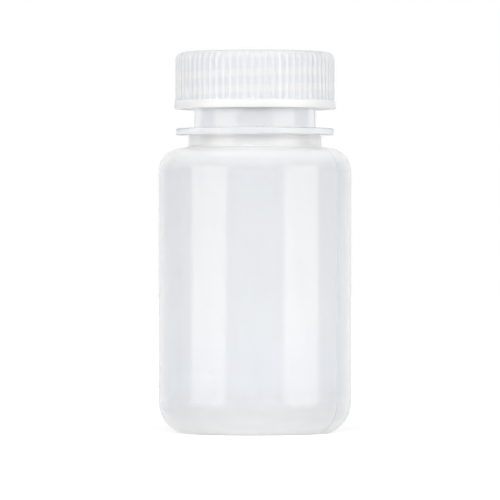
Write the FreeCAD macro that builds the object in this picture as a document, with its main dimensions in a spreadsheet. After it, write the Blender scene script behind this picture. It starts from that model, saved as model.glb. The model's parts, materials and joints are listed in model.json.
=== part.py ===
"""Wide-mouth reagent bottle with a ribbed screw cap and a sealing liner.

Millimetres, +Z up. The origin is the middle of the standing ring, on the surface that the bottle stands on.
The closed bottle is 98.5 tall and 50 across.
"""

import FreeCAD, Part
import Sketcher
import math
import os
from types import SimpleNamespace

ORIGIN = FreeCAD.Vector(0, 0, 0)
UP = FreeCAD.Vector(0, 0, 1)
# The part's Z axis, as a sketch on each origin plane sees it
SWING_AXES = {"XY_Plane": UP, "XZ_Plane": FreeCAD.Vector(0, 1, 0)}

# Driving dimensions: name, value, what it measures
DIMENSIONS = [
    ("body_diameter", 50.0, "outside of the straight wall"),
    ("body_height", 73.8, "standing surface to the flat of the shoulder"),
    ("body_wall", 1.2, "wall of the body and the shoulder"),
    ("shoulder_radius", 6.1, "outer rounding from the wall to the shoulder"),
    ("floor_thickness", 1.4, "wall of the base"),
    ("heel_radius", 9.0, "large rounding from the wall towards the base"),
    ("heel_angle", 65.0, "how far the large rounding turns"),
    ("heel_edge_radius", 1.2, "small rounding at the standing ring"),
    ("heel_inner_radius", 3.0, "rounding inside, from the wall to the floor"),
    ("standing_ring_width", 2.6, "flat ring that the bottle stands on"),
    ("push_up_height", 1.6, "rise of the hollow base inside the standing ring"),
    ("parting_angle", -32.5, "where the mould's parting line runs, from +X"),
    ("parting_line_width", 0.35, "width of the fine ridge along the parting line"),
    ("parting_line_height", 0.1, "how far that ridge stands proud"),
    ("parting_line_stop", 2.0, "how many degrees above the heel's edge that ridge ends"),
    ("mouth_diameter", 28.4, "clear bore of the neck"),
    ("neck_root_wall", 3.07, "wall of the lower neck, under the collar"),
    ("neck_root_height", 3.05, "shoulder to the underside of the collar"),
    ("neck_fillet", 0.5, "rounding where the neck meets the shoulder, inside and outside"),
    ("collar_overhang", 3.2, "how far the collar stands out from the lower neck"),
    ("collar_thickness", 1.9, "height of the collar"),
    ("collar_edge_radius", 0.4, "rounding of the collar's edges"),
    ("waist_wall", 1.65, "wall of the slim neck above the collar"),
    ("waist_height", 5.55, "collar to the flare under the thread"),
    ("finish_wall", 2.8, "wall of the threaded neck, and width of the rim"),
    ("finish_height", 10.15, "straight threaded part, up to the rim"),
    ("rim_radius", 0.5, "rounding of the rim's two edges"),
    ("thread_pitch", 4.1, "rise of the thread in one turn"),
    ("thread_depth", 1.45, "height of both thread ridges"),
    ("thread_flank_angle", 15.0, "slope of the ridges' flanks"),
    ("thread_clearance", 0.3, "radial play between crests and roots"),
    ("flank_clearance", 0.2, "axial play between the flanks that bear when the cap is tight"),
    ("neck_ridge_crest", 1.0, "crest width of the ridge on the neck"),
    ("neck_thread_angle", -18.0, "where the ridge on the neck starts, from +X"),
    ("neck_thread_start", 1.55, "flare to the middle of the ridge's lower end"),
    ("neck_thread_end", 1.6, "middle of the ridge's upper end to the rim"),
    ("thread_root_overlap", 0.3, "how far the ridges run into the walls that carry them"),
    ("neck_run_out_step", 0.05, "what is left of the neck's ridge at its very ends"),
    ("cap_run_out_angle", 20.0, "turn over which the ends of the cap's ridge fade into the skirt"),
    ("cap_height", 14.8, "overall height of the cap"),
    ("cap_wall", 1.45, "skirt wall under the ribs"),
    ("cap_top_thickness", 1.6, "top plate"),
    ("cap_corner_radius", 2.2, "rounding from the skirt to the top"),
    ("cap_ridge_crest", 1.3, "crest width of the ridge in the cap"),
    ("cap_thread_start", 2.4, "cap's lower edge to the middle of the ridge's lower end"),
    ("cap_thread_end", 0.15, "room between the ridge's upper end and the liner bead"),
    ("cap_lead_in", 0.5, "chamfer at the mouth of the skirt"),
    ("rib_count", 68, "grip ribs around the skirt"),
    ("rib_depth", 0.4, "depth of the flutes between the ribs"),
    ("flute_width", 1.4, "width of a flute at the ribs' crests"),
    ("flute_fade_radius", 4.0, "bend of a flute as it fades out at the top corner"),
    ("band_height", 2.2, "smooth band at the cap's lower edge"),
    ("band_overhang", 0.3, "how far the band stands out from the ribs"),
    ("band_edge_radius", 0.25, "rounding of the band's edges"),
    ("gate_mark_diameter", 3.0, "moulding mark in the middle of the cap's top"),
    ("gate_mark_depth", 0.3, "depth of that mark"),
    ("liner_thickness", 1.2, "sealing disc"),
    ("liner_clearance", 0.3, "radial play of the liner in the cap"),
    ("liner_seat_gap", 0.05, "play above and below the liner"),
    ("bead_depth", 0.7, "bead that keeps the liner in the cap"),
    ("bead_clearance", 0.2, "play between the bead and the liner"),
]


class Size:
    """A size worked out from the sheet: its value now, and the expression that keeps it up to date."""

    def __init__(self, value, text):
        self.value = value
        self.text = text

    def __add__(self, other):
        return Size(self.value + other.value, f"({self.text} + {other.text})")

    def __sub__(self, other):
        return Size(self.value - other.value, f"({self.text} - {other.text})")

    def __mul__(self, other):
        return Size(self.value * other.value, f"({self.text} * {other.text})")

    def __truediv__(self, other):
        return Size(self.value / other.value, f"({self.text} / {other.text})")


def number(value):
    return Size(float(value), repr(float(value)))


def root(size):
    return Size(math.sqrt(size.value), f"sqrt({size.text})")


def sine(angle):
    return Size(math.sin(math.radians(angle.value)), f"sin({angle.text})")


def cosine(angle):
    return Size(math.cos(math.radians(angle.value)), f"cos({angle.text})")


def tangent(angle):
    return Size(math.tan(math.radians(angle.value)), f"tan({angle.text})")


def smaller(first, second):
    return Size(min(first.value, second.value), f"min({first.text}; {second.text})")


ZERO = number(0)
TWO = number(2)
FULL_TURN = number(360)
# The band's rounding takes no more than this share of its overhang
BAND_EDGE_SHARE = number(0.85)
LEFT = 1
RIGHT = -1


def make_sheet(document):
    """Put the driving dimensions in a sheet and return them by name."""
    sheet = document.addObject("Spreadsheet::Sheet", "dims")
    sizes = SimpleNamespace()
    for row, (name, value, meaning) in enumerate(DIMENSIONS, start=1):
        sheet.set(f"A{row}", meaning)
        sheet.set(f"B{row}", str(value))
        sheet.setAlias(f"B{row}", name)
        setattr(sizes, name, Size(float(value), f"dims.{name}"))
    document.recompute()
    return sizes


def line_to(x, y):
    return SimpleNamespace(x=x, y=y, radius=None, turn=None)


def arc_to(x, y, radius, turn):
    """An arc of less than half a circle that turns left or right on its way to a point."""
    return SimpleNamespace(x=x, y=y, radius=radius, turn=turn)


def arc_geometry(start, end, radius, turn):
    """The arc between two points. A sketch keeps its arcs counter-clockwise, so a right turn is reversed."""
    chord = end - start
    half = chord.Length / 2
    rise = math.sqrt(max(radius * radius - half * half, 0))
    sideways = FreeCAD.Vector(-chord.y, chord.x, 0).normalize()
    centre = (start + end) / 2 + sideways * (rise * turn)
    first, last = (start, end) if turn == LEFT else (end, start)
    first_angle = math.atan2(first.y - centre.y, first.x - centre.x)
    last_angle = math.atan2(last.y - centre.y, last.x - centre.x)
    return Part.ArcOfCircle(Part.Circle(centre, UP, radius), first_angle, last_angle)


def bind(sketch, constraint, size):
    index = sketch.addConstraint(constraint)
    sketch.setExpression(f"Constraints[{index}]", size.text)


def pin_point(sketch, geometry, end, point):
    """Hold one end of an edge at a place that follows the sheet."""
    for kind, axis, size in (("DistanceX", -2, point.x), ("DistanceY", -1, point.y)):
        if size is ZERO:
            sketch.addConstraint(Sketcher.Constraint("PointOnObject", geometry, end, axis))
        else:
            bind(sketch, Sketcher.Constraint(kind, -1, 1, geometry, end, size.value), size)


def draw_outline(sketch, steps, closed=True):
    """Draw an outline from its steps. A closed one returns from the last point to the first by a line."""
    ends = [FreeCAD.Vector(step.x.value, step.y.value, 0) for step in steps]
    moves = list(zip(steps, ends, steps[1:], ends[1:]))
    if closed:
        home = line_to(steps[0].x, steps[0].y)
        moves.append((steps[-1], ends[-1], home, ends[0]))
    previous = None
    for origin, start, step, end in moves:
        if step.radius is None:
            index = sketch.addGeometry(Part.LineSegment(start, end))
        else:
            index = sketch.addGeometry(arc_geometry(start, end, step.radius.value, step.turn))
            bind(sketch, Sketcher.Constraint("Radius", index, step.radius.value), step.radius)
        tail, tip = (1, 2) if step.turn != RIGHT else (2, 1)
        pin_point(sketch, index, tail, origin)
        if previous is not None:
            sketch.addConstraint(Sketcher.Constraint("Coincident", previous[0], previous[1], index, tail))
        else:
            opening = (index, tail)
        previous = (index, tip)
    if closed:
        sketch.addConstraint(Sketcher.Constraint("Coincident", previous[0], previous[1], *opening))
    else:
        pin_point(sketch, previous[0], previous[1], steps[-1])


def add_sketch(body, name, plane, turn=None, lift=None):
    """A sketch on one of the body's origin planes, swung about Z or raised by a size."""
    sketch = body.newObject("Sketcher::SketchObject", name)
    support = next(item for item in body.Origin.OriginFeatures if item.Role == plane)
    sketch.AttachmentSupport = (support, [""])
    sketch.MapMode = "FlatFace"
    if turn is not None:
        swing = FreeCAD.Rotation(SWING_AXES[plane], turn.value)
        sketch.AttachmentOffset = FreeCAD.Placement(ORIGIN, swing)
        sketch.setExpression("AttachmentOffset.Rotation.Angle", turn.text)
    if lift is not None:
        sketch.setExpression("AttachmentOffset.Base.z", lift.text)
    return sketch


def revolve(body, name, steps):
    sketch = add_sketch(body, f"{name}_section", "XZ_Plane")
    draw_outline(sketch, steps)
    feature = body.newObject("PartDesign::Revolution", name)
    feature.Profile = sketch
    feature.ReferenceAxis = (sketch, ["V_Axis"])
    feature.Angle = 360
    return feature


def add_ridge(body, name, start_angle, steps, pitch, height):
    """A thread ridge: a section swept up a right-hand helix."""
    sketch = add_sketch(body, f"{name}_section", "XZ_Plane", turn=start_angle)
    draw_outline(sketch, steps)
    feature = body.newObject("PartDesign::AdditiveHelix", name)
    feature.Profile = sketch
    feature.ReferenceAxis = (sketch, ["V_Axis"])
    feature.Mode = "pitch-height-angle"
    feature.setExpression("Pitch", pitch.text)
    feature.setExpression("Height", height.text)
    feature.Angle = 0
    feature.LeftHanded = False
    feature.Reversed = False
    return feature


def trim_ridge_end(body, name, angle, middle, pitch, steps):
    """Cut the end of a thread ridge away at a slant, clear of the turns above and below it."""
    sketch = add_sketch(body, f"{name}_section", "XY_Plane", turn=angle, lift=middle)
    draw_outline(sketch, steps)
    feature = body.newObject("PartDesign::Pocket", name)
    feature.Profile = sketch
    feature.SideType = "Symmetric"
    feature.setExpression("Length", pitch.text)
    return feature


def repeat(body, name, feature, count):
    """Copies of a feature spaced evenly around Z."""
    pattern = body.newObject("PartDesign::PolarPattern", name)
    pattern.Originals = [feature]
    pattern.Axis = (next(item for item in body.Origin.OriginFeatures if item.Role == "Z_Axis"), [""])
    pattern.Angle = 360
    pattern.setExpression("Occurrences", count.text)
    body.Tip = pattern
    return pattern


def work_out(d):
    """Radii and heights that follow from the driving dimensions."""
    p = SimpleNamespace()
    p.body_radius = d.body_diameter / TWO
    p.mouth_radius = d.mouth_diameter / TWO
    p.neck_root_radius = p.mouth_radius + d.neck_root_wall
    p.collar_radius = p.neck_root_radius + d.collar_overhang
    p.waist_radius = p.mouth_radius + d.waist_wall
    p.finish_radius = p.mouth_radius + d.finish_wall
    p.neck_crest_radius = p.finish_radius + d.thread_depth
    p.cap_bore_radius = p.neck_crest_radius + d.thread_clearance
    p.cap_crest_radius = p.cap_bore_radius - d.thread_depth
    p.flute_floor_radius = p.cap_bore_radius + d.cap_wall
    p.rib_radius = p.flute_floor_radius + d.rib_depth
    p.band_radius = p.rib_radius + d.band_overhang
    p.bead_radius = p.cap_bore_radius - d.bead_depth
    p.liner_radius = p.cap_bore_radius - d.liner_clearance

    p.collar_low = d.body_height + d.neck_root_height
    p.collar_high = p.collar_low + d.collar_thickness
    p.flare_low = p.collar_high + d.waist_height
    p.flare_high = p.flare_low + (p.finish_radius - p.waist_radius)
    p.rim = p.flare_high + d.finish_height
    p.liner_low = p.rim + d.liner_seat_gap
    p.cap_ceiling = p.liner_low + d.liner_thickness + d.liner_seat_gap
    p.cap_high = p.cap_ceiling + d.cap_top_thickness
    p.cap_low = p.cap_high - d.cap_height
    p.band_high = p.cap_low + d.band_height
    p.bead_high = p.liner_low - d.bead_clearance
    p.bead_low = p.bead_high - d.bead_depth

    flank = tangent(d.thread_flank_angle)
    p.flank_spread = d.thread_depth * flank
    p.root_spread = (d.thread_depth + d.thread_root_overlap) * flank
    p.neck_thread_low = p.flare_high + d.neck_thread_start
    p.neck_thread_rise = p.rim - d.neck_thread_end - p.neck_thread_low
    p.cap_thread_low = p.cap_low + d.cap_thread_start
    p.cap_ridge_half = d.cap_ridge_crest / TWO + p.flank_spread
    p.cap_thread_rise = p.bead_low - d.cap_thread_end - p.cap_ridge_half - p.cap_thread_low
    crest_overlap = (p.neck_crest_radius - p.cap_crest_radius) * flank
    bearing_offset = (d.neck_ridge_crest + d.cap_ridge_crest) / TWO + crest_overlap + d.flank_clearance
    climb = p.cap_thread_low - (p.neck_thread_low - bearing_offset)
    p.cap_thread_angle = d.neck_thread_angle + climb / d.thread_pitch * FULL_TURN
    return p


def heel_points(d, p):
    """Where the two roundings of the base meet the wall, each other and the standing surface."""
    heel = SimpleNamespace()
    reach = d.heel_radius - d.heel_edge_radius
    heel.centre_x = p.body_radius - d.heel_radius
    heel.centre_z = d.heel_edge_radius + reach * sine(d.heel_angle)
    heel.foot_x = heel.centre_x + reach * cosine(d.heel_angle)
    heel.meet_x = heel.centre_x + d.heel_radius * cosine(d.heel_angle)
    heel.meet_z = heel.centre_z - d.heel_radius * sine(d.heel_angle)

    heel.inner_radius = d.heel_radius - d.body_wall
    inner_reach = heel.inner_radius - d.heel_inner_radius
    inner_drop = heel.centre_z - d.floor_thickness - d.heel_inner_radius
    inner_run = root(inner_reach * inner_reach - inner_drop * inner_drop)
    heel.inner_foot_x = heel.centre_x + inner_run
    heel.inner_meet_x = heel.centre_x + inner_run * heel.inner_radius / inner_reach
    heel.inner_meet_z = heel.centre_z - inner_drop * heel.inner_radius / inner_reach
    return heel


def make_bottle(document, d, p):
    body = document.addObject("PartDesign::Body", "bottle")
    heel = heel_points(d, p)
    ring_inside = heel.foot_x - d.standing_ring_width
    dome_radius = (ring_inside * ring_inside + d.push_up_height * d.push_up_height) / (d.push_up_height * TWO)
    neck_foot = p.neck_root_radius + d.neck_fillet
    shoulder_radius = smaller(d.shoulder_radius, p.body_radius - neck_foot - d.neck_fillet)
    wall_top = d.body_height - shoulder_radius
    shoulder_edge = p.body_radius - shoulder_radius
    ceiling = d.body_height - d.body_wall
    inside_radius = p.body_radius - d.body_wall

    outside = [
        line_to(ZERO, d.push_up_height),
        arc_to(ring_inside, ZERO, dome_radius, RIGHT),
        line_to(heel.foot_x, ZERO),
        arc_to(heel.meet_x, heel.meet_z, d.heel_edge_radius, LEFT),
        arc_to(p.body_radius, heel.centre_z, d.heel_radius, LEFT),
        line_to(p.body_radius, wall_top),
        arc_to(shoulder_edge, d.body_height, shoulder_radius, LEFT),
        line_to(neck_foot, d.body_height),
        arc_to(p.neck_root_radius, d.body_height + d.neck_fillet, d.neck_fillet, RIGHT),
        line_to(p.neck_root_radius, p.collar_low),
        line_to(p.collar_radius - d.collar_edge_radius, p.collar_low),
        arc_to(p.collar_radius, p.collar_low + d.collar_edge_radius, d.collar_edge_radius, LEFT),
        line_to(p.collar_radius, p.collar_high - d.collar_edge_radius),
        arc_to(p.collar_radius - d.collar_edge_radius, p.collar_high, d.collar_edge_radius, LEFT),
        line_to(p.waist_radius, p.collar_high),
        line_to(p.waist_radius, p.flare_low),
        line_to(p.finish_radius, p.flare_high),
        line_to(p.finish_radius, p.rim - d.rim_radius),
        arc_to(p.finish_radius - d.rim_radius, p.rim, d.rim_radius, LEFT),
    ]
    inside = [
        line_to(p.mouth_radius + d.rim_radius, p.rim),
        arc_to(p.mouth_radius, p.rim - d.rim_radius, d.rim_radius, LEFT),
        line_to(p.mouth_radius, ceiling + d.neck_fillet),
        arc_to(p.mouth_radius + d.neck_fillet, ceiling, d.neck_fillet, LEFT),
        line_to(shoulder_edge, ceiling),
        arc_to(inside_radius, wall_top, shoulder_radius - d.body_wall, RIGHT),
        line_to(inside_radius, heel.centre_z),
        arc_to(heel.inner_meet_x, heel.inner_meet_z, heel.inner_radius, RIGHT),
        arc_to(heel.inner_foot_x, d.floor_thickness, d.heel_inner_radius, RIGHT),
        line_to(ring_inside, d.floor_thickness),
        arc_to(ZERO, d.push_up_height + d.floor_thickness, dome_radius, LEFT),
    ]
    revolve(body, "bottle_wall", outside + inside)

    # The ridge starts just above the heel's edge, and ends inside the lower neck
    proud = d.parting_line_height
    sunk = d.body_wall / TWO
    start_angle = d.heel_angle - d.parting_line_stop
    start_cos = cosine(start_angle)
    start_sin = sine(start_angle)
    outer_heel = d.heel_radius + proud
    inner_heel = d.heel_radius - sunk
    inner_start_x = heel.centre_x + inner_heel * start_cos
    inner_start_z = heel.centre_z - inner_heel * start_sin
    ridge_end = p.neck_root_radius - sunk
    ridge = [
        line_to(heel.centre_x + outer_heel * start_cos, heel.centre_z - outer_heel * start_sin),
        arc_to(p.body_radius + proud, heel.centre_z, outer_heel, LEFT),
        line_to(p.body_radius + proud, wall_top),
        arc_to(shoulder_edge, d.body_height + proud, shoulder_radius + proud, LEFT),
        line_to(ridge_end, d.body_height + proud),
        line_to(ridge_end, d.body_height - sunk),
        line_to(shoulder_edge, d.body_height - sunk),
        arc_to(p.body_radius - sunk, wall_top, shoulder_radius - sunk, RIGHT),
        line_to(p.body_radius - sunk, heel.centre_z),
        arc_to(inner_start_x, inner_start_z, inner_heel, RIGHT),
    ]
    sketch = add_sketch(body, "parting_line_section", "XZ_Plane", turn=d.parting_angle)
    draw_outline(sketch, ridge)
    line = body.newObject("PartDesign::Pad", "parting_line")
    line.Profile = sketch
    line.SideType = "Symmetric"
    line.setExpression("Length", d.parting_line_width.text)
    document.recompute()
    repeat(body, "parting_lines", line, TWO)

    half_crest = d.neck_ridge_crest / TWO
    sunk_radius = p.finish_radius - d.thread_root_overlap
    thread = [
        line_to(sunk_radius, p.neck_thread_low - half_crest - p.root_spread),
        line_to(p.neck_crest_radius, p.neck_thread_low - half_crest),
        line_to(p.neck_crest_radius, p.neck_thread_low + half_crest),
        line_to(sunk_radius, p.neck_thread_low + half_crest + p.root_spread),
    ]
    add_ridge(body, "neck_thread", d.neck_thread_angle, thread, d.thread_pitch, p.neck_thread_rise)

    # A flat cut that almost touches the neck's root takes the ends down
    flat = p.finish_radius + d.neck_run_out_step
    beyond = p.neck_crest_radius + d.thread_depth
    last_angle = d.neck_thread_angle + p.neck_thread_rise / d.thread_pitch * FULL_TURN
    ends = [
        ("neck_thread_start", d.neck_thread_angle, p.neck_thread_low, number(1)),
        ("neck_thread_finish", last_angle, p.neck_thread_low + p.neck_thread_rise, number(-1)),
    ]
    for name, angle, middle, side in ends:
        trim_ridge_end(body, name, angle, middle, d.thread_pitch, [
            line_to(flat, p.neck_crest_radius * side),
            line_to(flat, ZERO - d.thread_depth * side),
            line_to(beyond, ZERO - d.thread_depth * side),
            line_to(beyond, p.neck_crest_radius * side),
        ])
    return body


def make_cap(document, d, p):
    body = document.addObject("PartDesign::Body", "screw_cap")
    gate_radius = d.gate_mark_diameter / TWO
    edge = smaller(d.band_edge_radius, d.band_overhang * BAND_EDGE_SHARE)
    section = [
        line_to(ZERO, p.cap_ceiling),
        line_to(p.cap_bore_radius, p.cap_ceiling),
        line_to(p.cap_bore_radius, p.bead_high),
        line_to(p.bead_radius, p.bead_high),
        line_to(p.cap_bore_radius, p.bead_low),
        line_to(p.cap_bore_radius, p.cap_low + d.cap_lead_in),
        line_to(p.cap_bore_radius + d.cap_lead_in, p.cap_low),
        line_to(p.band_radius - edge, p.cap_low),
        arc_to(p.band_radius, p.cap_low + edge, edge, LEFT),
        line_to(p.band_radius, p.band_high - edge),
        arc_to(p.band_radius - edge, p.band_high, edge, LEFT),
        line_to(p.rib_radius, p.band_high),
        line_to(p.rib_radius, p.cap_high - d.cap_corner_radius),
        arc_to(p.rib_radius - d.cap_corner_radius, p.cap_high, d.cap_corner_radius, LEFT),
        line_to(gate_radius, p.cap_high),
        line_to(gate_radius, p.cap_high - d.gate_mark_depth),
        line_to(ZERO, p.cap_high - d.gate_mark_depth),
    ]
    revolve(body, "cap_shell", section)

    half_crest = d.cap_ridge_crest / TWO
    sunk_radius = p.cap_bore_radius + d.thread_root_overlap
    thread = [
        line_to(p.cap_crest_radius, p.cap_thread_low - half_crest),
        line_to(sunk_radius, p.cap_thread_low - half_crest - p.root_spread),
        line_to(sunk_radius, p.cap_thread_low + half_crest + p.root_spread),
        line_to(p.cap_crest_radius, p.cap_thread_low + half_crest),
    ]
    add_ridge(body, "cap_thread", p.cap_thread_angle, thread, d.thread_pitch, p.cap_thread_rise)

    # A slanted cut from the skirt's bore to the ridge's crest takes the ends down
    fade_x = p.cap_crest_radius * cosine(d.cap_run_out_angle)
    fade_y = p.cap_crest_radius * sine(d.cap_run_out_angle)
    clear_x = fade_x - d.thread_depth
    last_angle = p.cap_thread_angle + p.cap_thread_rise / d.thread_pitch * FULL_TURN
    ends = [
        ("cap_thread_start", p.cap_thread_angle, p.cap_thread_low, number(1)),
        ("cap_thread_finish", last_angle, p.cap_thread_low + p.cap_thread_rise, number(-1)),
    ]
    for name, angle, middle, side in ends:
        trim_ridge_end(body, name, angle, middle, d.thread_pitch, [
            line_to(p.cap_bore_radius, ZERO),
            line_to(fade_x, fade_y * side),
            line_to(clear_x, fade_y * side),
            line_to(clear_x, ZERO - d.thread_root_overlap * side),
            line_to(p.cap_bore_radius - d.thread_root_overlap, ZERO - d.thread_root_overlap * side),
        ])

    half_width = d.flute_width / TWO
    flute_radius = (half_width * half_width + d.rib_depth * d.rib_depth) / (d.rib_depth * TWO)
    flute_axis = p.flute_floor_radius + flute_radius
    bend_low = p.cap_high - d.cap_corner_radius
    path = add_sketch(body, "flute_path", "XZ_Plane")
    draw_outline(path, [
        line_to(flute_axis, p.band_high),
        line_to(flute_axis, bend_low),
        arc_to(flute_axis - d.flute_fade_radius, bend_low + d.flute_fade_radius, d.flute_fade_radius, LEFT),
    ], closed=False)
    profile = add_sketch(body, "flute_section", "XY_Plane", lift=p.band_high)
    circle = profile.addGeometry(Part.Circle(FreeCAD.Vector(flute_axis.value, 0, 0), UP, flute_radius.value))
    bind(profile, Sketcher.Constraint("Radius", circle, flute_radius.value), flute_radius)
    pin_point(profile, circle, 3, line_to(flute_axis, ZERO))
    document.recompute()
    flute = body.newObject("PartDesign::SubtractivePipe", "flute")
    flute.Profile = profile
    flute.Spine = (path, [""])
    document.recompute()
    repeat(body, "flutes", flute, d.rib_count)
    return body


def make_liner(document, d, p):
    liner = document.addObject("Part::Cylinder", "cap_liner")
    liner.setExpression("Radius", p.liner_radius.text)
    liner.setExpression("Height", d.liner_thickness.text)
    liner.setExpression("Placement.Base.z", p.liner_low.text)
    return liner


def check(document, parts):
    """Stop if any object failed or a finished piece isn't one sound solid."""
    for item in document.Objects:
        if "Invalid" in item.State or "Error" in item.State:
            raise RuntimeError(f"{item.Name} failed: {item.State}")
    for item in parts:
        shape = item.Shape
        if shape.isNull() or not shape.isValid() or len(shape.Solids) != 1:
            raise RuntimeError(f"{item.Label} is not one valid solid")


def main():
    document = FreeCAD.newDocument("reagent_bottle")
    d = make_sheet(document)
    p = work_out(d)
    parts = [make_bottle(document, d, p), make_cap(document, d, p), make_liner(document, d, p)]
    document.recompute()
    check(document, parts)
    os.makedirs("parts", exist_ok=True)
    for item in parts:
        item.Shape.exportStep(f"parts/{item.Label}.step")
        print(f"{item.Label}: {item.Shape.Volume:.1f} mm3")


main()
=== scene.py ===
import json
import math

import bpy
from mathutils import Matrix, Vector


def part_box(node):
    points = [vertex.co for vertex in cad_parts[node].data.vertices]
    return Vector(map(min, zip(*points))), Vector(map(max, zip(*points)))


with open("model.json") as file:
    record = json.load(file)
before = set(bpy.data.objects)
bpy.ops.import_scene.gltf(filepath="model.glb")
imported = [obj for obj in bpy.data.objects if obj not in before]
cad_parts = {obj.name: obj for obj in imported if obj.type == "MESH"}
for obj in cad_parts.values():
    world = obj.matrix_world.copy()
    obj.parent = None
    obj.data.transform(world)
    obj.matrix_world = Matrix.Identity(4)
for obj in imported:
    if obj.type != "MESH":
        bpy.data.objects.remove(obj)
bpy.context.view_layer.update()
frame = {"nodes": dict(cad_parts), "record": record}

# Camera: the photograph's frame, the column where the bottle's axis lies in it, the eye level, and the height
# on the axis that the middle of the picture shows
PHOTO_SIDE_PX = 500
PX_PER_METRE = 3864
AXIS_COLUMN_PX = 255.0
CAMERA_DISTANCE = 1.29
CAMERA_HEIGHT = 0.0503
CENTRE_HEIGHT = 0.0473
SENSOR_WIDTH_MM = 36.0

# Studio light: an even room, one wide soft lamp in front, and two upright panels that only show in gloss
WHITE = (1.0, 1.0, 1.0)
AMBIENT = 0.5
BACKGROUND = 1.0
LAMP_DISTANCE = 0.9
FRONT_ELEVATION = math.radians(30)
FRONT_SIZE = (2.4, 0.6)
FRONT_RADIANCE = 2.05
PANEL_AZIMUTH = math.radians(57)
PANEL_SIZE = (0.76, 0.5)
PANEL_HEIGHT = 0.1
PANEL_RADIANCE = 2.5
PANEL_COLOUR = (1.0, 0.89, 0.75)

# Light crosses many plastic walls on its way to the camera
MAX_BOUNCES = 40
DIFFUSE_BOUNCES = 12
GLOSSY_BOUNCES = 32
TRANSMISSION_BOUNCES = 32

# Floor: a pale sheet with a glow that grows with the distance from the object
FLOOR_SIZE = 6.0
FLOOR_COLOUR = (0.9, 0.9, 0.9)
FLOOR_GLOW = (0.42, 0.7)
FLOOR_GLOW_NEAR = 0.05
FLOOR_GLOW_FAR = 0.6

# Looks of the plastic: colour is the scattered light's, tint is what light keeps on its way out of the wall,
# and clarity is the share that goes straight through
BODY_WALL = {"colour": (0.975, 0.98, 0.985), "tint": (0.75, 0.785, 0.84), "clarity": 0.6}
BODY_ENDS = {"colour": (0.975, 0.98, 0.985), "tint": (0.705, 0.745, 0.815), "clarity": 0.6}
BASE_WALL = {"colour": (0.985, 0.988, 0.995), "tint": (0.87, 0.89, 0.925), "clarity": 0.16}
SHOULDER_WALL = {"colour": (0.985, 0.985, 0.99), "tint": (0.9, 0.91, 0.93), "clarity": 0.25}
LOWER_NECK = {"colour": (0.985, 0.985, 0.99), "tint": (0.93, 0.94, 0.96), "clarity": 0.22}
COLLAR = {"colour": (0.85, 0.856, 0.872), "tint": (0.92, 0.935, 0.955), "clarity": 0.4}
WAIST = {"colour": (0.98, 0.98, 0.985), "tint": (0.84, 0.865, 0.9), "clarity": 0.8}
THREADED_NECK = {"colour": (0.98, 0.98, 0.985), "tint": (0.88, 0.9, 0.925), "clarity": 0.4}
# The thin skirt's darker, bluer colour is painted shade of the shadowy inside seen through the cap's thin
# wall
THIN_SKIRT_PAINTED_SHADE = {"colour": (0.775, 0.797, 0.833), "tint": (0.96, 0.975, 0.99), "clarity": 0.15}
THICK_SKIRT = {"colour": (0.81, 0.816, 0.832), "tint": (0.97, 0.98, 0.99), "clarity": 0.12}
CAP_BAND = {"colour": (0.935, 0.94, 0.957), "tint": (0.97, 0.98, 0.99), "clarity": 0.11}
CAP_INSIDE = {"colour": (0.91, 0.92, 0.94), "tint": (0.97, 0.98, 0.99), "clarity": 0.7}

# Plastic: how far light scatters in it, alike in red, green and blue, and its clouded gloss and orange peel
PLASTIC_IOR = 1.49
PLASTIC_GLOSS = 0.5
SCATTER_RATIOS = (1.0, 1.0, 1.0)
WALL_SCATTER = 0.001
SKIRT_SCATTER = 0.003
BODY_ROUGHNESS = 0.1
NECK_ROUGHNESS = 0.06
CAP_ROUGHNESS = 0.22
ROUGHNESS_SPREAD = 0.1
CLOUD_SCALE = 300
CLOUD_DETAIL = 2
PEEL_SCALE = 500
PEEL_DETAIL = 1
PEEL_HEIGHT = 0.000006

# The bottle's looks at heights above the floor, from its base to its rim
BOTTLE_LOOKS = [
    (0.0, BASE_WALL),
    (0.011, BODY_ENDS),
    (0.017, BODY_ENDS),
    (0.032, BODY_WALL),
    (0.05, BODY_WALL),
    (0.066, BODY_ENDS),
    (0.0675, BODY_ENDS),
    (0.0725, SHOULDER_WALL),
    (0.0735, SHOULDER_WALL),
    (0.0745, LOWER_NECK),
    (0.0767, LOWER_NECK),
    (0.0771, COLLAR),
    (0.0786, COLLAR),
    (0.079, WAIST),
    (0.0838, WAIST),
    (0.0846, THREADED_NECK),
]

# The bottle's smoother gloss starts at the shoulder's top, where its parting lines end
SHOULDER_HEIGHT = 0.0738
GLOSS_BLUR = 0.001
# The parting lines' ridges are painted in the shoulder's paler look, a painted highlight along them
PARTING_ANGLE = math.radians(-32.5)
PARTING_HALF_WIDTH = 0.000175
PARTING_BLUR = 0.0002
PARTING_HIGHLIGHT_SHARE = 0.6

# The thread inside the cap: its start and rise are heights, and its ends fade out over an angle
THREAD_PITCH = frame["record"]["behaviour"]["couplings"][0]["ratio"] * math.tau
THREAD_START = 0.0024
THREAD_START_ANGLE = math.radians(48.56)
THREAD_RISE = 0.00746
THREAD_FADE_ANGLE = math.radians(20)
RIDGE_CREST_HALF = 0.0007
RIDGE_ROOT_HALF = 0.0013

# The cap's outside: ribs, a smooth band along the lower edge, and the top plate. A share says how thick the
# plastic looks there, from the thin skirt's look at 0 to the thick one's at 1. The thin look's darker, bluer
# colour is painted shade: of the shadowy inside seen through the thin wall between the thread's turns, and in
# the grooves between the ribs. The top's share is partly painted light of the white liner behind it. The skin
# is all that lies within its depth of the ribs' crests
RIB_DEPTH = 0.0004
RIB_SHARE = 0.45
SKIN_DEPTH = 0.0011
BAND_HEIGHT = 0.0022
BAND_OVERHANG = 0.0003
TOP_DEPTH = 0.0022
TOP_SHARE = 0.7
TOP_BLUR = 0.0005

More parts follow.
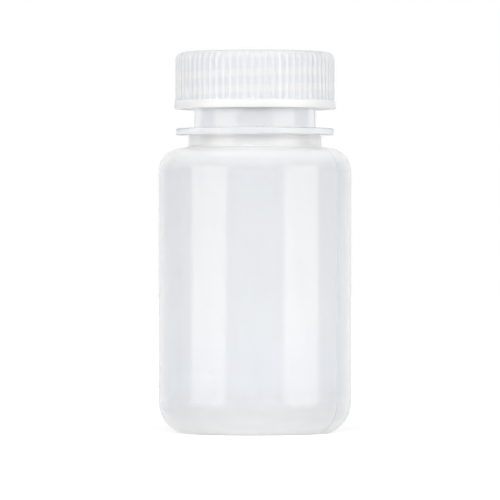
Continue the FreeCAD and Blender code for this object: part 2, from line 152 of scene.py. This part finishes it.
# Foam of the liner: round cells, with clouds over them and a fine grain in its gloss
FOAM_PALE = (0.93, 0.93, 0.91)
FOAM_DARK = (0.86, 0.86, 0.83)
FOAM_CELL_SCALE = 2200
FOAM_CELL_DEPTH = 0.00012
FOAM_CLOUD_SCALE = 400
FOAM_CLOUD_SHADE = (0.6, 1.2)
FOAM_GRAIN_SCALE = 900
FOAM_ROUGHNESS = (0.55, 0.75)

# Nearly all values of a noise texture lie in this range
NOISE_RANGE = (0.3, 0.7)

# Where a Mix node keeps its factor and its colours, among the sockets for other kinds of data
MIX_FACTOR = 0
MIX_FIRST_COLOUR = 6
MIX_SECOND_COLOUR = 7
MIX_RESULT_COLOUR = 2


def add_camera():
    data = bpy.data.cameras.new("camera")
    data.sensor_width = SENSOR_WIDTH_MM
    data.lens = PX_PER_METRE * CAMERA_DISTANCE / PHOTO_SIDE_PX * SENSOR_WIDTH_MM
    camera = bpy.data.objects.new("camera", data)
    sideways = (PHOTO_SIDE_PX / 2 - AXIS_COLUMN_PX) / PX_PER_METRE
    camera.location = (sideways, -CAMERA_DISTANCE, CAMERA_HEIGHT)
    tilt = math.atan2(CAMERA_HEIGHT - CENTRE_HEIGHT, CAMERA_DISTANCE)
    camera.rotation_euler = (math.pi / 2 - tilt, 0, 0)
    bpy.context.scene.collection.objects.link(camera)
    bpy.context.scene.camera = camera


def add_lamp(name, target, azimuth, elevation, size, radiance, colour):
    """A soft rectangular lamp that faces a point, from an azimuth off the camera's side and an elevation."""
    data = bpy.data.lights.new(name, "AREA")
    data.shape = "RECTANGLE"
    data.size, data.size_y = size
    data.energy = radiance * math.pi * data.size * data.size_y
    data.color = colour
    lamp = bpy.data.objects.new(name, data)
    level = math.cos(elevation)
    direction = Vector((level * math.sin(azimuth), -level * math.cos(azimuth), math.sin(elevation)))
    lamp.location = target + direction * LAMP_DISTANCE
    lamp.rotation_euler = direction.to_track_quat("Z", "Y").to_euler()
    lamp.visible_camera = False
    lamp.visible_transmission = False
    bpy.context.scene.collection.objects.link(lamp)
    return lamp


def add_lamps():
    centre = Vector((0, 0, CENTRE_HEIGHT))
    front = add_lamp("lamp_front", centre, 0, FRONT_ELEVATION, FRONT_SIZE, FRONT_RADIANCE, WHITE)
    front.visible_glossy = False
    panel_centre = Vector((0, 0, PANEL_HEIGHT))
    for name, side in (("panel_left", -1), ("panel_right", 1)):
        azimuth = side * PANEL_AZIMUTH
        panel = add_lamp(name, panel_centre, azimuth, 0, PANEL_SIZE, PANEL_RADIANCE, PANEL_COLOUR)
        panel.visible_diffuse = False


def connect(tree, value, socket):
    """Feed a socket from another node's output, or set it to a plain number or colour."""
    if isinstance(value, bpy.types.NodeSocket):
        tree.links.new(value, socket)
    elif isinstance(value, tuple):
        socket.default_value = (*value, 1)
    else:
        socket.default_value = value


def calculate(tree, operation, *values):
    node = tree.nodes.new("ShaderNodeMath")
    node.operation = operation
    for value, socket in zip(values, node.inputs):
        connect(tree, value, socket)
    return node.outputs[0]


def rescale(tree, value, start, end, low=0.0, high=1.0, smooth=False):
    """Map a value from one range to another, level beyond both ends."""
    node = tree.nodes.new("ShaderNodeMapRange")
    node.interpolation_type = "SMOOTHSTEP" if smooth else "LINEAR"
    connect(tree, value, node.inputs["Value"])
    connect(tree, start, node.inputs["From Min"])
    connect(tree, end, node.inputs["From Max"])
    connect(tree, low, node.inputs["To Min"])
    connect(tree, high, node.inputs["To Max"])
    return node.outputs["Result"]


def mix_colours(tree, factor, first, second):
    node = tree.nodes.new("ShaderNodeMix")
    node.data_type = "RGBA"
    connect(tree, factor, node.inputs[MIX_FACTOR])
    connect(tree, first, node.inputs[MIX_FIRST_COLOUR])
    connect(tree, second, node.inputs[MIX_SECOND_COLOUR])
    return node.outputs[MIX_RESULT_COLOUR]


def mix_shaders(tree, factor, first, second):
    node = tree.nodes.new("ShaderNodeMixShader")
    for value, socket in zip((factor, first, second), node.inputs):
        connect(tree, value, socket)
    return node.outputs[0]


def add_shaders(tree, first, second):
    node = tree.nodes.new("ShaderNodeAddShader")
    for value, socket in zip((first, second), node.inputs):
        connect(tree, value, socket)
    return node.outputs[0]


def own_position(tree):
    """A point's place in its own object, so that a pattern moves with its piece."""
    return tree.nodes.new("ShaderNodeTexCoord").outputs["Object"]


def own_coordinates(tree):
    node = tree.nodes.new("ShaderNodeSeparateXYZ")
    connect(tree, own_position(tree), node.inputs["Vector"])
    return node.outputs["X"], node.outputs["Y"], node.outputs["Z"]


def noise(tree, scale, detail, low, high):
    node = tree.nodes.new("ShaderNodeTexNoise")
    connect(tree, own_position(tree), node.inputs["Vector"])
    connect(tree, scale, node.inputs["Scale"])
    connect(tree, detail, node.inputs["Detail"])
    return rescale(tree, node.outputs["Fac"], *NOISE_RANGE, low, high)


def add_bump(tree, shader, height, depth, invert=False):
    node = tree.nodes.new("ShaderNodeBump")
    node.invert = invert
    connect(tree, depth, node.inputs["Distance"])
    connect(tree, height, node.inputs["Height"])
    connect(tree, node.outputs["Normal"], shader.inputs["Normal"])


def white_ray(tree):
    """1 for rays that should meet the white background: from the camera, in gloss and through plastic."""
    path = tree.nodes.new("ShaderNodeLightPath")
    seen = calculate(tree, "MAXIMUM", path.outputs["Is Camera Ray"], path.outputs["Is Glossy Ray"])
    return calculate(tree, "MAXIMUM", seen, path.outputs["Is Transmission Ray"])


def add_world():
    """An even room, seen as plain white."""
    world = bpy.data.worlds.new("studio")
    world.use_nodes = True
    tree = world.node_tree
    tree.nodes.clear()
    shades = []
    for strength in (AMBIENT, BACKGROUND):
        node = tree.nodes.new("ShaderNodeBackground")
        connect(tree, WHITE, node.inputs["Color"])
        connect(tree, strength, node.inputs["Strength"])
        shades.append(node.outputs[0])
    output = tree.nodes.new("ShaderNodeOutputWorld")
    connect(tree, mix_shaders(tree, white_ray(tree), *shades), output.inputs["Surface"])
    bpy.context.scene.world = world


def floor_material():
    """Matt white that keeps a shadow, with a glow that only rays to the background see."""
    material = bpy.data.materials.new("floor_white")
    material.use_nodes = True
    tree = material.node_tree
    tree.nodes.clear()
    matt = tree.nodes.new("ShaderNodeBsdfDiffuse")
    connect(tree, FLOOR_COLOUR, matt.inputs["Color"])
    reach = tree.nodes.new("ShaderNodeVectorMath")
    reach.operation = "LENGTH"
    connect(tree, own_position(tree), reach.inputs[0])
    glow = tree.nodes.new("ShaderNodeEmission")
    strength = rescale(tree, reach.outputs["Value"], FLOOR_GLOW_NEAR, FLOOR_GLOW_FAR, *FLOOR_GLOW)
    connect(tree, strength, glow.inputs["Strength"])
    bright = add_shaders(tree, matt.outputs[0], glow.outputs[0])
    output = tree.nodes.new("ShaderNodeOutputMaterial")
    connect(tree, mix_shaders(tree, white_ray(tree), matt.outputs[0], bright), output.inputs["Surface"])
    return material


def add_floor():
    half = FLOOR_SIZE / 2
    corners = [(-half, -half, 0), (half, -half, 0), (half, half, 0), (-half, half, 0)]
    mesh = bpy.data.meshes.new("floor")
    mesh.from_pydata(corners, [], [(0, 1, 2, 3)])
    mesh.materials.append(floor_material())
    floor = bpy.data.objects.new("floor", mesh)
    floor.visible_glossy = False
    bpy.context.scene.collection.objects.link(floor)


def blend_looks(tree, factor, first, second):
    """Two looks of the plastic, mixed in every one of their values."""
    return {
        "colour": mix_colours(tree, factor, first["colour"], second["colour"]),
        "tint": mix_colours(tree, factor, first["tint"], second["tint"]),
        "clarity": rescale(tree, factor, 0, 1, first["clarity"], second["clarity"]),
    }


def new_material(name):
    """A material with its node tree and the one shader in it."""
    material = bpy.data.materials.new(name)
    material.use_nodes = True
    tree = material.node_tree
    return material, tree, tree.nodes["Principled BSDF"]


def milky_plastic(name, looks, scatter, roughness):
    """Translucent plastic: part of the light goes straight through, the rest scatters in the wall.

    Light leaves the wall through its inner side, where it keeps the tint and isn't scattered again.
    """
    material, tree, shader = new_material(name)
    shader.inputs["IOR"].default_value = PLASTIC_IOR
    shader.inputs["Specular IOR Level"].default_value = PLASTIC_GLOSS
    shader.inputs["Subsurface Weight"].default_value = 1.0
    shader.inputs["Subsurface Radius"].default_value = SCATTER_RATIOS
    shader.inputs["Subsurface Scale"].default_value = scatter
    look = looks(tree)
    leaving = tree.nodes.new("ShaderNodeNewGeometry").outputs["Backfacing"]
    connect(tree, mix_colours(tree, leaving, look["colour"], look["tint"]), shader.inputs["Base Color"])
    connect(tree, rescale(tree, leaving, 0, 1, look["clarity"], 1), shader.inputs["Transmission Weight"])
    connect(tree, roughness(tree), shader.inputs["Roughness"])
    add_bump(tree, shader, noise(tree, PEEL_SCALE, PEEL_DETAIL, 0, 1), PEEL_HEIGHT)
    return material


def clouded(tree, roughness):
    """Roughness with the slight clouding of a moulded surface."""
    spread = roughness * ROUGHNESS_SPREAD
    return noise(tree, CLOUD_SCALE, CLOUD_DETAIL, roughness - spread, roughness + spread)


def parting_ridge_highlight(tree, x, y, z):
    """The share of the parting lines' painted highlight: full on the ridges up both sides of the bottle, and
    none on its neck.
    """
    across = calculate(tree, "MULTIPLY", x, math.sin(PARTING_ANGLE))
    along = calculate(tree, "MULTIPLY", y, math.cos(PARTING_ANGLE))
    offset = calculate(tree, "ABSOLUTE", calculate(tree, "SUBTRACT", across, along))
    ridge = rescale(tree, offset, PARTING_HALF_WIDTH, PARTING_HALF_WIDTH + PARTING_BLUR, PARTING_HIGHLIGHT_SHARE, 0)
    return calculate(tree, "MULTIPLY", ridge, calculate(tree, "LESS_THAN", z, SHOULDER_HEIGHT))


def bottle_looks(tree):
    """The wall's look changes with height, and is painted paler on the ridges along its parting lines, a
    painted highlight.
    """
    x, y, z = own_coordinates(tree)
    low, look = BOTTLE_LOOKS[0]
    for high, next_look in BOTTLE_LOOKS[1:]:
        if next_look is not look:
            look = blend_looks(tree, rescale(tree, z, low, high, smooth=True), look, next_look)
        low = high
    # Painted highlight: the parting lines' ridges take the shoulder's paler look
    return blend_looks(tree, parting_ridge_highlight(tree, x, y, z), look, SHOULDER_WALL)


def bottle_roughness(tree):
    """The neck is a little glossier than the body."""
    height = own_coordinates(tree)[2]
    neck = rescale(tree, height, SHOULDER_HEIGHT - GLOSS_BLUR, SHOULDER_HEIGHT)
    return rescale(tree, neck, 0, 1, clouded(tree, BODY_ROUGHNESS), clouded(tree, NECK_ROUGHNESS))


def thread_ridge(tree, x, y, climb):
    """1 on the ridge that winds up inside the cap, with climb in turns of the thread above its start."""
    angle = calculate(tree, "SUBTRACT", calculate(tree, "ARCTAN2", y, x), THREAD_START_ANGLE)
    ahead = calculate(tree, "SUBTRACT", climb, calculate(tree, "DIVIDE", angle, math.tau))
    offset = calculate(tree, "SUBTRACT", ahead, calculate(tree, "ROUND", ahead))
    apart = calculate(tree, "ABSOLUTE", offset)
    ridge = rescale(tree, apart, RIDGE_CREST_HALF / THREAD_PITCH, RIDGE_ROOT_HALF / THREAD_PITCH, 1, 0)
    middle = calculate(tree, "SUBTRACT", climb, offset)
    fade = THREAD_FADE_ANGLE / math.tau
    turns = THREAD_RISE / THREAD_PITCH
    started = rescale(tree, middle, 0, fade)
    unfinished = rescale(tree, middle, turns - fade, turns, 1, 0)
    return calculate(tree, "MULTIPLY", ridge, calculate(tree, "MULTIPLY", started, unfinished))


def distance_from_axis(tree, x, y):
    squares = [calculate(tree, "MULTIPLY", side, side) for side in (x, y)]
    return calculate(tree, "SQRT", calculate(tree, "ADD", *squares))


def cap_looks(tree):
    """The skirt looks thickest on its thread, and thicker at the top and on its ribs than between them.

    The band along its lower edge and the cap's inside have looks of their own. Between the thread's turns and
    between the ribs the colour is painted darker and bluer, painted shade of the shadowy inside seen through
    the thin wall, and the top is painted lighter, partly painted light of the white liner behind it.
    """
    low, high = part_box("screw_cap")
    rib_radius = high[0] - BAND_OVERHANG
    plate_bottom = high[2] - TOP_DEPTH
    x, y, z = own_coordinates(tree)
    radius = distance_from_axis(tree, x, y)
    above_start = calculate(tree, "SUBTRACT", z, low[2] + THREAD_START)
    ridge = thread_ridge(tree, x, y, calculate(tree, "DIVIDE", above_start, THREAD_PITCH))
    rib = rescale(tree, radius, rib_radius - RIB_DEPTH, rib_radius, 0, RIB_SHARE)
    top = rescale(tree, z, plate_bottom, plate_bottom + TOP_BLUR, 0, TOP_SHARE)
    # Low shares, between the thread's turns and in the grooves between the ribs, get the thin look's painted
    # shade; the top's share is partly painted light of the white liner behind it
    thickness_and_shade = calculate(tree, "MAXIMUM", calculate(tree, "MAXIMUM", rib, top), ridge)
    skirt = blend_looks(tree, thickness_and_shade, THIN_SKIRT_PAINTED_SHADE, THICK_SKIRT)
    above_band = calculate(tree, "GREATER_THAN", z, low[2] + BAND_HEIGHT)
    outside = blend_looks(tree, above_band, CAP_BAND, skirt)
    in_skin = calculate(tree, "GREATER_THAN", radius, rib_radius - SKIN_DEPTH)
    in_plate = calculate(tree, "GREATER_THAN", z, plate_bottom)
    return blend_looks(tree, calculate(tree, "MAXIMUM", in_skin, in_plate), CAP_INSIDE, outside)


def cap_roughness(tree):
    return clouded(tree, CAP_ROUGHNESS)


def foam(name):
    """Closed-cell foam: small round cells in a clouded off-white."""
    material, tree, shader = new_material(name)
    cells = tree.nodes.new("ShaderNodeTexVoronoi")
    connect(tree, own_position(tree), cells.inputs["Vector"])
    connect(tree, FOAM_CELL_SCALE, cells.inputs["Scale"])
    from_middle = cells.outputs["Distance"]
    clouds = noise(tree, FOAM_CLOUD_SCALE, CLOUD_DETAIL, *FOAM_CLOUD_SHADE)
    shade = calculate(tree, "MULTIPLY", from_middle, clouds)
    connect(tree, mix_colours(tree, shade, FOAM_PALE, FOAM_DARK), shader.inputs["Base Color"])
    grain = noise(tree, FOAM_GRAIN_SCALE, CLOUD_DETAIL, *FOAM_ROUGHNESS)
    connect(tree, grain, shader.inputs["Roughness"])
    add_bump(tree, shader, from_middle, FOAM_CELL_DEPTH, invert=True)
    return material


def dress(node, material):
    for slot in frame["nodes"][node].material_slots:
        slot.material = material


def set_up_render():
    scene = bpy.context.scene
    scene.view_settings.view_transform = "Standard"
    scene.cycles.max_bounces = MAX_BOUNCES
    scene.cycles.diffuse_bounces = DIFFUSE_BOUNCES
    scene.cycles.glossy_bounces = GLOSSY_BOUNCES
    scene.cycles.transmission_bounces = TRANSMISSION_BOUNCES


def main():
    set_up_render()
    add_camera()
    add_world()
    add_floor()
    add_lamps()
    dress("bottle", milky_plastic("bottle_milky", bottle_looks, WALL_SCATTER, bottle_roughness))
    dress("screw_cap", milky_plastic("cap_milky", cap_looks, SKIRT_SCATTER, cap_roughness))
    dress("cap_liner", foam("liner_foam_white"))


main()
